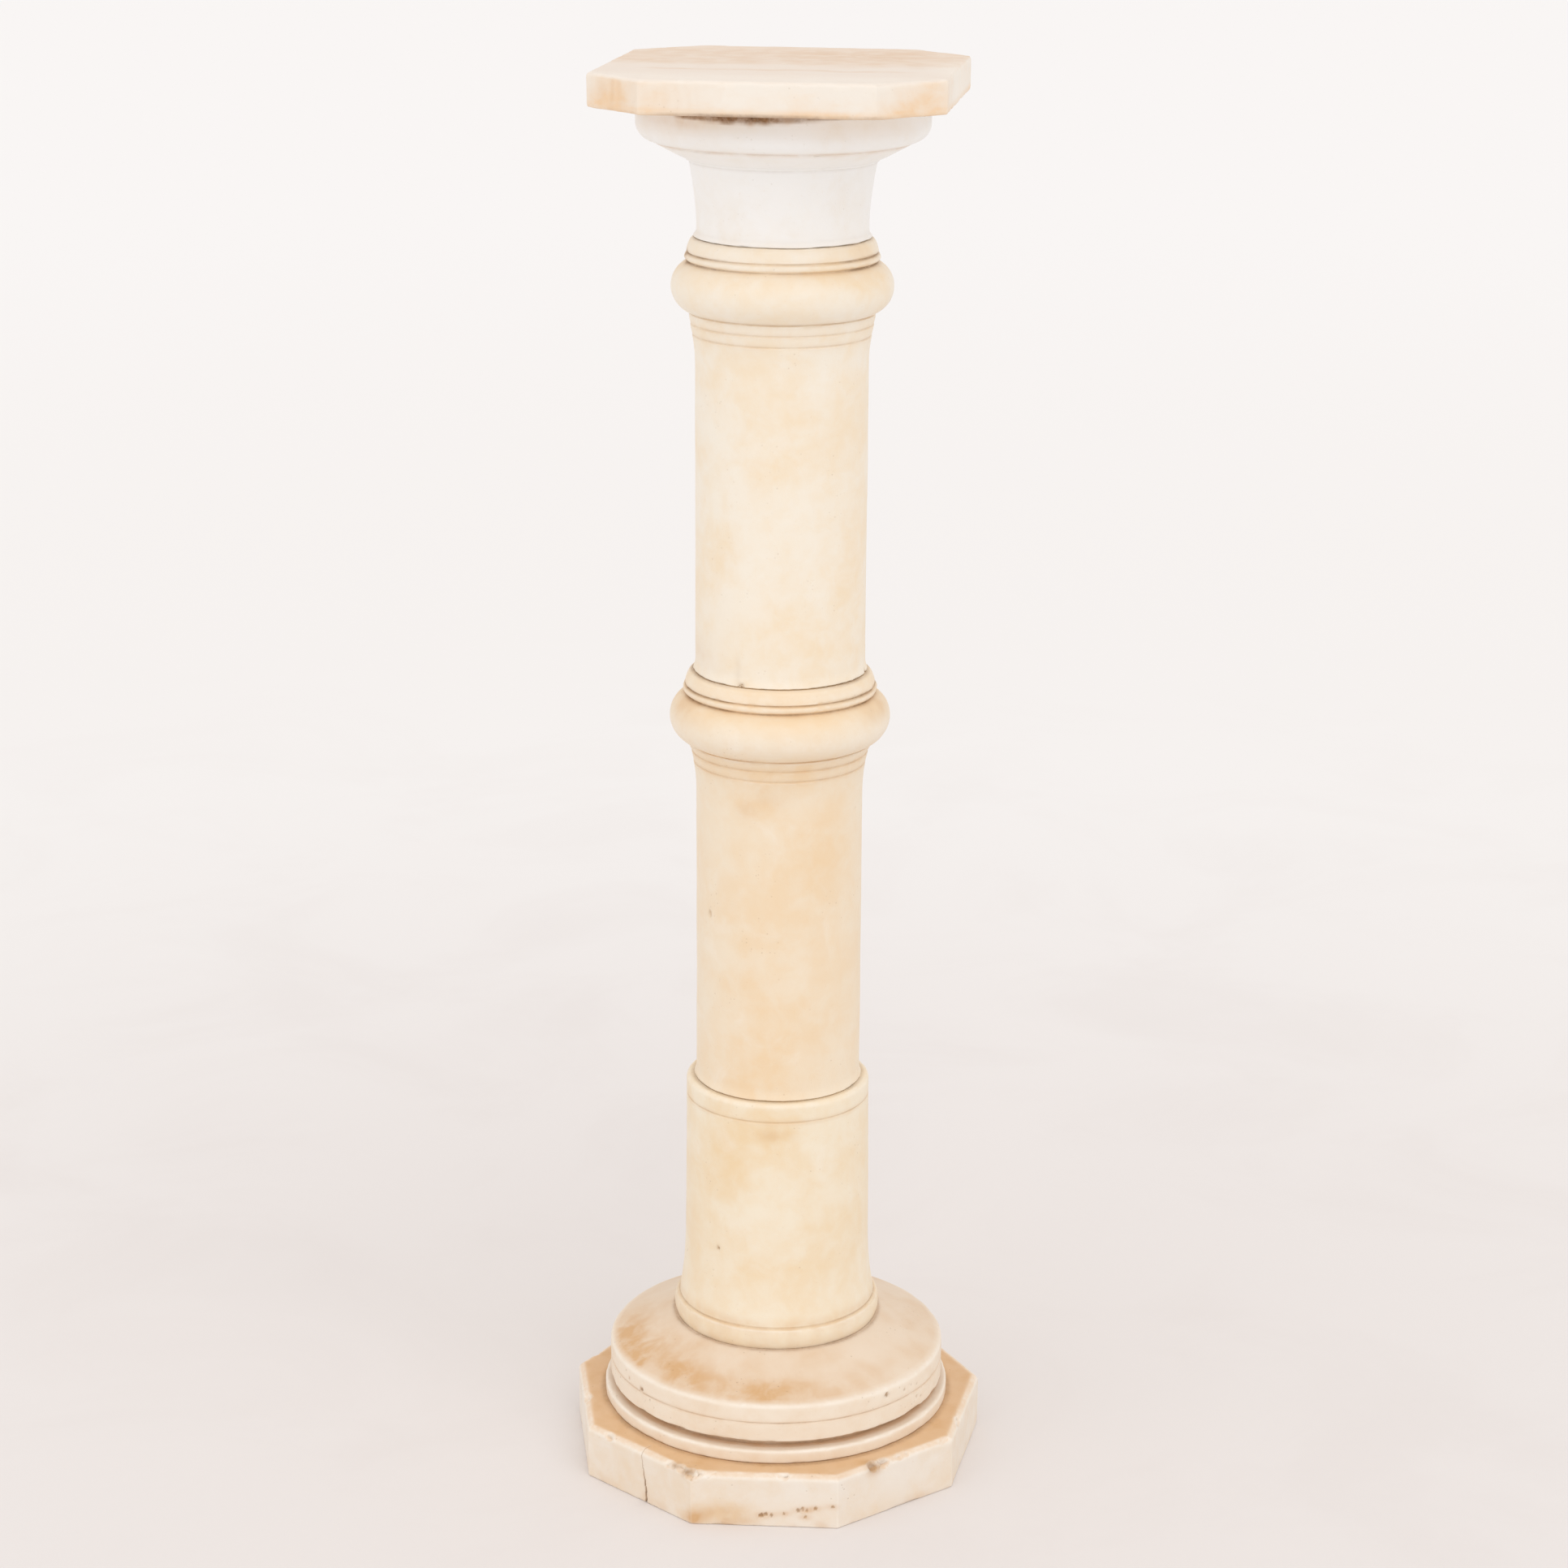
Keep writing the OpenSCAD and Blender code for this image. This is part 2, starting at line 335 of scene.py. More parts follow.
def hand_turned(grid, seed):
    """Slight unevenness left by the lathe and by polishing: long and short shallow swells, inwards only."""
    long_depth, long_size, short_depth, short_size = 0.16, 70, 0.05, 14
    depth = long_depth * (1 + unevenness(grid, long_size, seed))
    depth += short_depth * (1 + unevenness(grid, short_size, seed + 1))
    return sink(grid, np.clip(depth, 0, None))


def worn_arrises(grid, seed, most):
    """Takes the sharpness off each arris unevenly: what stands proud is rubbed back, here and there.

    Each point sinks by how proud it stands, times rubbing, times a patchy 0 to 1, and at most by most.
    """
    reach, rubbing = 1.2, 2.2
    proud = np.clip(-hollows(grid, reach), 0, None)
    patchy = ramp(unevenness(grid, 30, seed) + 0.5 * unevenness(grid, 9, seed + 1), -0.4, 1.1)
    return sink(grid, np.minimum(proud * rubbing * patchy, most))


def lathe(profile, count, crowding, seed, most):
    """A round stone: its profile turned about Z in count columns, with uneven skin and worn arrises."""
    columns = crowd(BACK - 360, BACK, count, crowding)
    return worn_arrises(hand_turned(turned(profile, columns), seed), seed + 2, most)


def scattered(count, seed, angles, heights, radius, size):
    """Small pits at random places within a range of angles and heights on a round stone."""
    rng = np.random.default_rng(seed)
    for _ in range(count):
        big = rng.uniform(*size)
        yield rng.uniform(*angles), rng.uniform(*heights), radius + big * 0.55, big


def chipped(grid, chips, seed=3):
    """Breaks out every chip, a (place, size), in turn, and also returns how deep each point was cut."""
    cut = np.zeros(grid.shape[:2])
    for number, (place, size) in enumerate(chips):
        depth = scoop(grid, place, size, seed=seed + number)
        grid = sink(grid, depth)
        cut = np.maximum(cut, depth)
    return grid, cut


def chipped_round(grid, chips, seed):
    """The same for a round stone, where a chip is an (angle, height, distance from the axis, size)."""
    return chipped(grid, [(on_round(*place), size) for *place, size in chips], seed)


def seam_shade(grid, upper=True):
    """Darker band at the joints with the next stones, painted shade where they meet together with dirt held
    in the joints: 1 at the very edge, gone within about reach.
    """
    reach = 0.9
    z = grid[..., 2]
    shade = bell(z - z.min(), reach)
    if upper:
        shade = np.maximum(shade, bell(z.max() - z, reach))
    return shade


def to_side(grid):
    """0 where a round stone faces the front or the back, and 1 where it faces left or right."""
    return ramp(np.abs(grid[..., 0]) / from_axis(grid), 0.35, 0.95)


def lines_at(grid, heights, width):
    """Soft bands round the stone at these heights."""
    return sum(bell(grid[..., 2] - z, width) for z in heights)


def shape_plinth():
    """Nine-sided block with worn top edges, a crack, broken corners and pits low on its front.

    A prism drawn in by its bevelled profile, less soft unevenness, worn arrises, balls that bite its
    top edges and its face, and a cleft that deepens with the distance fallen from the top.
    """
    low, high = node_span("plinth")
    sides, corner_r, turn, bevel = 9, 151.5, 6.9, 3
    side_angle = 360 / sides
    angle = np.radians(turn + side_angle * np.arange(sides))
    corners = corner_r * np.stack([np.cos(angle), np.sin(angle)], -1)
    profile = outline([
        [(ARRIS, low), (0, low + ARRIS), (0, high - bevel), (bevel, high), (24, high)],
    ], rounding=1.6, step=1.1)
    face_way = np.degrees(angle) + side_angle / 2
    left, front, right = (int(np.argmin(np.abs(face_way - way))) for way in (226.9, 266.9, 306.9))
    crowding = {left: (210, [(0.55, 0.025, 9), (0.93, 0.08, 1.5)]),
                front: (190, [(0.08, 0.08, 1.2), (0.72, 0.2, 0.8)]),
                right: (160, [(0.36, 0.12, 1.5)])}
    places = []
    for k in range(sides):
        count, spots = crowding.get(k, (60, []))
        places.append(crowd(0, 1, count + 1, spots)[1:])
    grid = prism(corners, profile, 1.4, places)
    grid = sink(grid, 0.12 * np.clip(1 + unevenness(grid, 60, 11), 0, None))
    grid = worn_arrises(grid, 12, 1.5)
    inradius = corner_r * math.cos(math.pi / sides)

    def on_face(side, along, out, z):
        """The point a distance along a side from its middle, out from its face, at height z."""
        a = math.radians(face_way[side])
        reach = inradius + out
        return (reach * math.cos(a) - along * math.sin(a), reach * math.sin(a) + along * math.cos(a), z)

    def edge_chip(side, along, radius, depth):
        """A ball that bites depth into the bevelled top edge of a side."""
        out = (radius - depth - bevel * math.sqrt(0.5)) * math.sqrt(0.5)
        return on_face(side, along, out, high + out), radius

    chips = [edge_chip(left, 49, 10, 2.6), edge_chip(left, 41, 8, 1.8), edge_chip(left, 31, 9, 1.3),
             edge_chip(left, -30, 9, 1.2), edge_chip(front, -48, 9, 2.2), edge_chip(front, -38, 8, 1),
             edge_chip(front, 12, 9, 1), edge_chip(right, -19, 9, 2.9), edge_chip(right, -11, 11, 2.2),
             edge_chip(right, 1, 10, 1.5), edge_chip(right, 9, 8, 1.1), edge_chip(right, 44, 9, 1.6),
             edge_chip(0, 20, 12, 2.2), edge_chip(2, -12, 12, 2.4), edge_chip(3, 30, 10, 2),
             edge_chip(4, 5, 12, 1.8), edge_chip(8, -25, 10, 1.6)]
    grid, broken = chipped(grid, chips)
    pits = [(on_face(front, along, size * 0.5, z), size * 1.15)
            for along, z, size in [(-2, 8.6, 2), (1, 9.6, 1.7), (5, 9, 1.5), (24, 13.2, 1.9),
                                   (27, 14.4, 1.7), (30, 13.4, 1.5), (36, 15.4, 1.6), (48, 16.8, 1.4),
                                   (29, 8.2, 1.4), (14, 10.4, 1.2)]]
    grid, pitted = chipped(grid, pits, seed=60)
    smudge = sum(near(grid, centre, (4.5, 4.5, 2.2)) for centre, _ in pits)

    # The crack: a narrow cleft that leans down the face, widest and deepest low down
    x, y, z = np.moveaxis(grid, -1, 0)
    a = math.radians(face_way[left])
    fallen = high - z
    along = y * math.cos(a) - x * math.sin(a)
    facing = x * math.cos(a) + y * math.sin(a) > inradius - 9
    leaning = 2.6 + 4.4 * ramp(fallen, 0, high - 6)
    where = leaning + 0.2 * np.sin(fallen * 0.9) + 0.12 * np.sin(fallen * 2.3)
    off = np.abs(along - where) / (0.5 + 0.7 * ramp(fallen, 10, 34))
    cleft = np.clip(1 - off, 0, 1) * facing
    grid = sink(grid, cleft * (0.7 + 2 * ramp(fallen, 8, 32)))
    lip = np.clip(1 - off / 2.8, 0, 1) * facing * ramp(fallen, 9, 24)

    def spot(side, along, out, z, size):
        """A soft spot on a side."""
        return near(grid, on_face(side, along, out, z), size)

    x, y, z = np.moveaxis(grid, -1, 0)
    r = from_axis(grid)
    on_top = ramp(z, high - 3.2, high - 0.6)
    way = np.degrees(np.arctan2(y, x))
    from_edge = inradius - r * np.cos(np.radians((way - turn) % side_angle - side_angle / 2))
    edge_band = ramp(z, high - 5, high - 2.5) * (1 - ramp(from_edge, 3.4, 5.6))
    blotch = ramp(unevenness(grid, 22, 15), -0.4, 1.2)
    low_down = 1 - ramp(z, 1, 9)
    stain = (0.8 * near(grid, (-57, -140, 5), (7, 6, 6)) + 0.5 * near(grid, (-40, -142, 8), (16, 9, 7))
             + 0.6 * ramp(pitted, 0.1, 0.6) + 0.7 * np.clip(smudge, 0, 1.2)
             + 0.45 * blotch * low_down + 0.3 * lip
             + on_top * (0.35 + 0.3 * blotch) * ramp(from_edge, 4, 7.5)
             + 0.8 * near(grid, (-61, -135, 38), (7, 6, 4)) + 0.7 * near(grid, (-74, -126, 39), (6, 4, 3))
             + 0.7 * spot(right, -18, 0, 37, (8, 7, 5)))
    warm = (0.9 * near(grid, (-40, -142, 8), (26, 20, 10)) + 0.5 * spot(right, -12, 0, 6, (24, 22, 9))
            + 0.4 * spot(front, 34, 0, 12, (30, 18, 10)) + 0.35 * spot(left, -30, 0, 5, (30, 30, 9))
            + 0.6 * on_top)
    base_r = 126.5
    base_shadow = bell(r - base_r, 2.2) * on_top
    dark = (cleft * (0.5 + 0.9 * ramp(fallen, 8, 22)) + 0.4 * ramp(pitted, 0.3, 0.9)
            + 1.4 * spot(right, -19.5, -3, 37, (5, 4.4, 3.2))
            + 0.7 * spot(right, -9, -3.5, 38, (3.6, 2.6, 2))
            + spot(left, 46, -3, 37.6, (4.4, 3.4, 2.2))
            + 0.8 * spot(left, 35, -3, 38.2, (4, 2.8, 1.8)) + 0.5 * base_shadow)
    pale = 0.5 * edge_band + 0.45 * ramp(broken, 0.2, 0.8) - 0.8 * dark
    return grid, dict(warm=warm, stain=stain, dark=dark, pale=pale)


def shape_base():
    """Low ring, deep groove, disc with a fine line round its edge, and a top that rises to the shaft.

    Arcs and straight stretches turned about Z, less unevenness, worn arrises, chips and small pits.
    """
    low, high = node_span("turned_base")
    ring_r, ring_h, groove_depth, groove_h = 125.5, 10, 8, 4.5
    disc_r, disc_edge_h, disc_roll, foot_r, roll = 121.5, 29.5, 4, 74.6, 2
    disc_z = low + ring_h + groove_h
    top_z = disc_z + disc_edge_h
    groove_r = disc_r - groove_depth
    profile = outline([
        [(ring_r - ARRIS, low), (ring_r, low + ARRIS)],
        arc(ring_r - roll, low + ring_h - roll, roll, 0, 90, 8),
        [(groove_r, low + ring_h), (groove_r, disc_z)],
        arc(disc_r - roll, disc_z + roll, roll, -90, 0, 8),
        line_cut(disc_r, disc_z + disc_edge_h / 2),
        arc(disc_r - disc_roll, top_z - disc_roll, disc_roll, 0, 70, 10),
        [(foot_r + ARRIS, high), (foot_r - 4, high)],
    ], rounding=0.9, step=1.25)
    grid = lathe(profile, 600, [(-147, 14, 2), (-42, 12, 1.6), (FRONT, 60, 0.7)], 21, 0.8)
    chips = [(-142.6, 71.5, disc_r + 1.5, 2.9), (-150.6, 73, disc_r + 1, 2),
             (-138.1, 67, disc_r + 1, 1.9), (-49.4, 77.6, disc_r + 1.6, 2.9),
             (-40.7, 75.4, disc_r + 1, 1.9), (-33.3, 64.1, disc_r + 1.1, 2),
             (-131, 83.5, disc_r + 1.4, 3), (40, 55.5, disc_r + 2.5, 4.6), (118, 83, disc_r + 1.5, 3.6)]
    chips += scattered(9, 41, (-163, -134), (61, 81), disc_r, (0.9, 1.4))
    chips += scattered(7, 42, (-45, -27), (60, 79), disc_r, (0.9, 1.4))
    chips += scattered(10, 43, (0, 150), (58, 81), disc_r, (0.9, 1.6))
    grid, cut = chipped_round(grid, chips, seed=80)
    spot = spots_on(grid, disc_r)
    r = from_axis(grid)
    z = grid[..., 2]
    on_top = ramp(z, top_z - 2.2, top_z + 1.2)
    patches = ramp(unevenness(grid, 40, 25) + 0.5 * unevenness(grid, 15, 26), -0.5, 1.2)
    warm = on_top * (0.25 + 0.4 * patches) + 0.6 * (r < disc_r - 3) * (z < disc_z + 1)
    warm += 0.35 * spot(-98, 60, (60, 40, 8))
    front_arc = ramp(r, 92, 106) * spot(-98, 86, (78, 46, 40), 110)
    stain = on_top * (
        0.55 * spot(-128, 86, (26, 20, 20), 108) + 0.55 * front_arc
        + 0.35 * spot(-92, 85, (40, 12, 18), 113)
        + 0.7 * spot(-150, 86, (6, 6, 5), 112)
        + 0.95 * spot(-168, 86, (20, 38, 20), 110)
        + 0.55 * spot(-145, 88, (26, 24, 20), 95)
        + 0.2 * spot(0, 88, (14, 40, 20), 112)
        + 0.35 * spot(70, 88, (60, 24, 20), 100) + 0.14 * patches)
    groove = ramp(disc_r - r, 0.5, 4) * (z < disc_z + 1.5) * (z > low + ring_h - 1.5)
    at_foot = bell(r - foot_r, 1.5) * on_top
    line = bell(z - disc_z - disc_edge_h / 2, 1.6) * (r > disc_r - 3)
    stain += 0.4 * ramp(cut, 0.2, 0.9) + 0.45 * groove + 0.3 * line
    dark = 0.3 * ramp(cut, 0.5, 1.4) + 0.6 * seam_shade(grid, upper=False)
    dark += 0.65 * at_foot + 0.45 * spot(-142.6, 71.5, 2.2)
    dark += 0.45 * spot(-49.4, 77.6, (2.8, 2.8, 1.5))
    # Painted highlights: pale bands along the rounded top arrises of the disc's edge and of the low ring.
    pale = 0.55 * bell(z - top_z + 1.6, 2.2) * (r > disc_r - 6)
    pale += 0.5 * bell(z - low - ring_h + 1.6, 1.8) * (r > ring_r - 3)
    return grid, dict(warm=warm, stain=stain, dark=dark, pale=pale * (0.6 + 0.4 * patches))


def shape_lower_shaft():
    """Foot ring, drum that flares at its foot, fine line and collar.

    Turned about Z. The flare falls away as what is left of its height to the power 2.5.
    """
    low, high = node_span("lower_shaft")
    foot_r, foot_h, drum_r, flare, flare_h = 74.6, 14.8, 66.3, 4.6, 58
    collar_h, collar_roll, next_r, crown_r = 13.8, 3.5, 60.6, 56
    collar_r = drum_r - ARRIS
    profile = outline([
        [(foot_r - BEAD_OUT, low)],
        swell(foot_r, low + ARRIS, foot_h - 2 * ARRIS, BEAD_OUT),
        [(drum_r + flare - ARRIS, low + foot_h)],
        narrowing((drum_r + flare, low + foot_h + ARRIS), (drum_r, low + foot_h + flare_h), 2.5),
        line_cut(collar_r, high - collar_h),
        arc(collar_r - collar_roll, high - collar_roll, collar_roll, 0, 90, 9),
        [(crown_r, high)],
    ], rounding=0.8, step=1.9)
    grid = lathe(profile, 400, [(FRONT, 60, 0.6), (-129.5, 5, 2)], 31, 0.7)
    chips = [(-129.5, 172, 68.4, 3.2), (60, 286, collar_r + 1.6, 3.8), (150, 117, foot_r + 1.6, 3.6)]
    chips += scattered(16, 44, (-270, 90), (125, 265), drum_r + 0.4, (0.9, 1.5))
    grid, cut = chipped_round(grid, chips, seed=130)
    spot = spots_on(grid, drum_r)
    z = grid[..., 2]
    warm = (0.8 * spot(-96, 262, (24, 30, 16))
            + 0.5 * spot(-125, 238, (20, 20, 22))
            + 0.35 * spot(-60, 205, (18, 18, 22))
            + 0.35 * spot(-100, 160, (30, 30, 18))
            + 0.3 * spot(30, 190, (40, 40, 40))
            + 0.2 * (z > high - collar_h))
    stain = (0.3 * spot(-93, 264, (13, 14, 5)) + 0.5 * ramp(cut, 0.3, 0.9)
             + 0.3 * bell(z - low - foot_h - 2, 4) + 0.3 * lines_at(grid, (high - collar_h,), 2)
             + 0.2 * (z < low + foot_h))
    dark = 0.7 * seam_shade(grid, upper=False) + 0.5 * ramp(cut, 0.5, 1.3)
    dark += 0.5 * spot(-129.5, 172, 1.8)
    dark += 0.4 * bell(z - high, 0.5) * bell(from_axis(grid) - next_r, 1.4)
    hollow_darkening = 0.2 + 0.35 * to_side(grid)
    return grid, dict(warm=warm, stain=stain, dark=dark, pale=0, hollow_darkening=hollow_darkening)


def shaft_outline(low, high, drum_r, knop_out):
    """Long drum, two fillets, a round knop, a bead and a cushion band, with a fine line between each.

    The drum widens under the fillets as height to the power 2.5, and knop and bead are circle arcs.
    Also returns the heights of the lines under the bead, cushion, knop, upper and lower fillet.
    """
    apophyge_h, fillet_h, knop_h, knop_bulge, bead_h, cushion_h = 24, 7.7, 34.2, 10.4, 5.9, 10
    cushion_in, crown_r = 5.4, 52
    knop_r = drum_r + knop_out
    end_r = knop_r - knop_bulge
    cushion_z = high - cushion_h
    bead_z = cushion_z - bead_h
    knop_z = bead_z - knop_h
    fillet_z = knop_z - fillet_h
    low_z = fillet_z - fillet_h
    low_r, fillet_r = drum_r + FILLET_STEPS[0], drum_r + FILLET_STEPS[1]
    bead_r = end_r + BEAD_OUT
    profile = outline([
        [(drum_r + ARRIS, low)],
        narrowing((drum_r + 2 * ARRIS, low + ARRIS), (drum_r, low + 10 * ARRIS), 2),
        widening((drum_r, low_z - apophyge_h), (low_r, low_z - LINE_HALF), 2.5),
        line_cut(low_r, low_z),
        line_cut(fillet_r, fillet_z),
        [(end_r - BEAD_OUT, knop_z - LINE_HALF), (end_r - 2 * BEAD_OUT, knop_z)],
        swell(knop_r, knop_z + LINE_HALF, knop_h - 2 * LINE_HALF, knop_bulge, 30),
        [(end_r - BEAD_OUT, bead_z)],
        swell(bead_r, bead_z + LINE_HALF, bead_h - 2 * LINE_HALF, BEAD_OUT, 9),
        [(end_r - BEAD_OUT, cushion_z)],
        narrowing((end_r, cushion_z + LINE_HALF), (bead_r - cushion_in, high - ARRIS), 0.6, 10),
        [(bead_r - cushion_in - ARRIS, high), (crown_r, high)],
    ], rounding=0.6, step=2.4)
    return profile, (bead_z, cushion_z, knop_z, fillet_z, low_z)


def shape_middle_shaft():
    """The middle drum and its knop, the warmest of the stones: its outline turned about Z."""
    low, high = node_span("middle_shaft")
    drum_r, knop_out = 58.4, 18.5
    profile, (bead_z, cushion_z, knop_z, fillet_z, low_z) = shaft_outline(low, high, drum_r, knop_out)
    grid = lathe(profile, 350, [(FRONT, 60, 0.8), (-24, 10, 1.6)], 51, 0.6)
    chips = [(-145.7, 418, 59.6, 2.6), (-32, 579.5, 69, 2.6), (-24, 578.2, 69.4, 2.4),
             (-17, 578.8, 69.4, 2.6), (-38, 577.6, 69.2, 2), (-100, 541, 68.4, 2.4),
             (70, 577, 69.6, 3), (165, 538, 68.4, 3)]
    chips += scattered(14, 45, (-270, 90), (300, 500), drum_r + 0.4, (0.9, 1.4))
    grid, cut = chipped_round(grid, chips, seed=170)
    spot = spots_on(grid, drum_r)
    z = grid[..., 2]
    warm = (0.5 * spot(-58, 462, (24, 26, 34))
            + 0.5 * spot(-104, 508, (20, 22, 12))
            + 0.4 * spot(-100, 372, (40, 34, 46))
            + 0.7 * spot(-96, 306, (46, 40, 26))
            + 0.3 * spot(-88, 400, (52, 60, 400)) + 0.3 * spot(80, 400, (50, 50, 90))
            + 0.7 * bell(z - bead_z + 1, 7)
            + 0.55 * bell(z - knop_z + 9, 11)
            + 0.35 * ramp(z, cushion_z - 7, cushion_z))
    stain = (0.22 * spot(-96, 512, (12, 12, 9))
             + 0.22 * spot(-112, 500, (8, 8, 6))
             + 0.4 * spot(-160, 566, (20, 28, 9), 74)
             + 0.4 * spot(-20, 566, (20, 28, 9), 74)
             + 0.5 * ramp(cut, 0.5, 1.1) * (z < 560))
    sides = to_side(grid)
    stain += 0.3 * lines_at(grid, (low_z, fillet_z, knop_z), 2)
    stain += 0.3 * lines_at(grid, (bead_z, cushion_z), 1.6)
    dark = (seam_shade(grid) * (0.2 + 0.5 * sides) + 0.7 * sides * lines_at(grid, (bead_z, cushion_z), 1.1)
            + 0.55 * spot(-145.7, 418, 1.8))
    hollow_darkening = 0.25 + (z > knop_z + 9) * (0.35 + 0.3 * sides)
    # Paler bands on the knop and on the cushion; the one on the cushion is a painted highlight.
    pale = 0.55 * bell(z - knop_z - 14, 8) + 0.35 * bell(z - cushion_z - 4, 3)
    return grid, dict(warm=warm, stain=stain, dark=dark, pale=pale, hollow_darkening=hollow_darkening)


def shape_upper_shaft():
    """The upper drum and its knop, cream with soft orange mottles: its outline turned about Z."""
    low, high = node_span("upper_shaft")
    drum_r, knop_out = 59, 16.4
    profile, (bead_z, cushion_z, knop_z, fillet_z, low_z) = shaft_outline(low, high, drum_r, knop_out)
    grid = lathe(profile, 350, [(FRONT, 60, 0.8), (-172, 8, 1.6)], 71, 0.6)
    chips = [(-173, 876.6, 68, 3.4), (-164, 876.4, 68, 2.4), (-2, 876.8, 67.6, 2.8),
             (-116.3, 589.2, 62, 3.2), (-50, 837.4, 64.8, 2.4), (-12, 589, 62, 3.4),
             (100, 876.4, 68, 3)]
    chips += scattered(12, 46, (-270, 90), (605, 800), drum_r + 0.4, (0.9, 1.4))
    grid, cut = chipped_round(grid, chips, seed=210)
    spot = spots_on(grid, drum_r)
    z = grid[..., 2]
    warm = (0.8 * spot(-101, 733, (11, 16, 15))
            + 0.35 * spot(-96, 757, (26, 22, 22))
            + 0.5 * spot(-84, 634, (24, 24, 12))
            + 0.35 * spot(-120, 612, (28, 28, 20))
            + 1.1 * spot(-50, 868, (26, 24, 9), 70)
            + 0.9 * spot(-34, 882, (16, 14, 7), 64)
            + 0.45 * bell(z - bead_z + 2, 8)
            + 0.25 * bell(z - knop_z + 10, 10)
            + 0.25 * spot(85, 700, (50, 50, 80))
            + 0.2 * ramp(800 - z, 0, 180))
    stain = (0.2 * spot(-160, 603, (20, 24, 14))
             + 0.4 * ramp(cut, 0.6, 1.2)
             + 0.3 * spot(-172, 872, (12, 14, 6), 70)
             + 0.28 * spot(-36, 878, (12, 12, 9), 65))
    sides = to_side(grid)
    stain += 0.22 * lines_at(grid, (low_z, fillet_z, knop_z, bead_z, cushion_z), 1.8)
    dark = (seam_shade(grid) * 0.5 * sides + 0.5 * sides * lines_at(grid, (bead_z, cushion_z), 1.1)
            + 1.3 * spot(-173, 876.2, (4, 4, 2.2), 65.5)
            + 0.8 * spot(-170, 870.6, (4, 4, 1.4), 66.5)
            + 0.5 * spot(-116.3, 589.2, (3.5, 2.5, 2), drum_r + 1.5)
            + 0.2 * spot(-119, 598, (2.2, 2.2, 9)))
    hollow_darkening = 0.2 + (z > knop_z + 9) * (0.12 + 0.4 * sides)
    # Paler bands on the upper fillet and on the cushion; the one on the cushion is a painted highlight.
    pale = 0.3 * bell(z - fillet_z - 4, 3) + 0.3 * bell(z - cushion_z - 4, 3)
    return grid, dict(warm=warm, stain=stain, dark=dark, pale=pale, hollow_darkening=hollow_darkening)


def shape_capital():
    """Flared neck, small step and hollow curve under a broad rounded rim.

    Turned about Z. The neck widens as height to the power 1.6, the hollow to the power 0.9, and the
    rim's underside is a quarter circle.
    """
    low, high = node_span("capital")
    neck_r, foot_out, top_out, rim_r = 58.1, 2.4, 5.2, 98.5
    rim_h, hollow_h, undercut, roll = 27.5, 13, 11.5, 2
    rim_z = high - rim_h
    neck_top_z, neck_top_r = rim_z - hollow_h, neck_r + top_out
    arris_r = rim_r - undercut
    quarter = arc(0, 0, 1, -90, 0, 16)
    profile = outline([
        [(neck_r + foot_out - ARRIS, low)],
        narrowing((neck_r + foot_out, low + ARRIS), (neck_r, low + 5), 2, 8),
        widening((neck_r, low + 9), (neck_top_r, neck_top_z), 1.6, 20),
        [(neck_top_r + FILLET_STEPS[0], neck_top_z + ARRIS)],
        widening((neck_top_r + FILLET_STEPS[0], neck_top_z + 2 * ARRIS),
                 (arris_r - ARRIS, rim_z - LINE_HALF), 0.9, 12),
        [(arris_r - LINE_DEPTH, rim_z)],
        np.stack([arris_r + undercut * quarter[:, 0],
                  rim_z + LINE_HALF + undercut * (1 + quarter[:, 1])], -1),
        [(rim_r, high - roll), (rim_r - roll, high), (rim_r - 12, high)],
    ], rounding=0.9, step=1.9)
    grid = lathe(profile, 420, [(FRONT, 60, 0.6), (-102, 10, 2.2)], 91, 0.7)
    chips = [(-102.2, 975, rim_r + 2.4, 5.2), (-97.5, 975.6, rim_r + 1.8, 4.2),
             (-108.5, 976.2, rim_r + 1.9, 4.2), (-114, 976.4, rim_r + 1.6, 3.4),
             (-160, 950.5, arris_r + 2.2, 3.2), (30, 977.4, rim_r + 1.4, 4.4),
             (135, 977.4, rim_r + 1.4, 4.4)]
    grid, cut = chipped_round(grid, chips, seed=240)
    spot = spots_on(grid, rim_r)
    z = grid[..., 2]
    way = np.degrees(np.arctan2(grid[..., 1], grid[..., 0]))
    # Painted shadow of the slab, with some dirt, in a band at the top of the rim under the slab, thickest
    # left of the front and thin at the sides
    thick = 0.35 + 0.55 * bell(way + 106, 34) + 0.06 * unevenness(grid, 9, 95)
    under_slab = 1.3 * ramp(z - high, -8.4 * thick, -5.4 * thick) * np.clip(0.3 + thick, 0, 1)
    # Warm tints: two spots at 969 mm turn the band under the slab, painted shadow with dirt, orange-brown;
    # the tint in the hollow under the rim is painted shade of the rim.
    warm = (0.8 * spot(-118, 969, (40, 30, 5))
            + 0.22 * ramp(z, rim_z - 16, rim_z - 1) * (z < rim_z + 2)
            + 0.3 * bell(z - low, 9)
            + 0.4 * spot(-60, 969, (34, 30, 5))
            + 0.15 * spot(-30, 900, (20, 20, 24), neck_r))
    # Browner in chips, in the band under the slab, painted shadow with dirt, in a patch at its left, and
    # along the line at the rim.
    stain = (0.5 * ramp(cut, 0.4, 1.4)
             + 0.7 * thick * ramp(z - high, -9.4 * thick, -5.5 * thick)
             + 0.35 * spot(-136, 970, (34, 30, 4))
             + 0.3 * bell(z - rim_z, 1.5))
    dark = 0.4 * ramp(cut, 0.8, 2.2)
    return grid, dict(warm=warm, stain=stain, dark=dark + under_slab, pale=0, hollow_darkening=0.25)


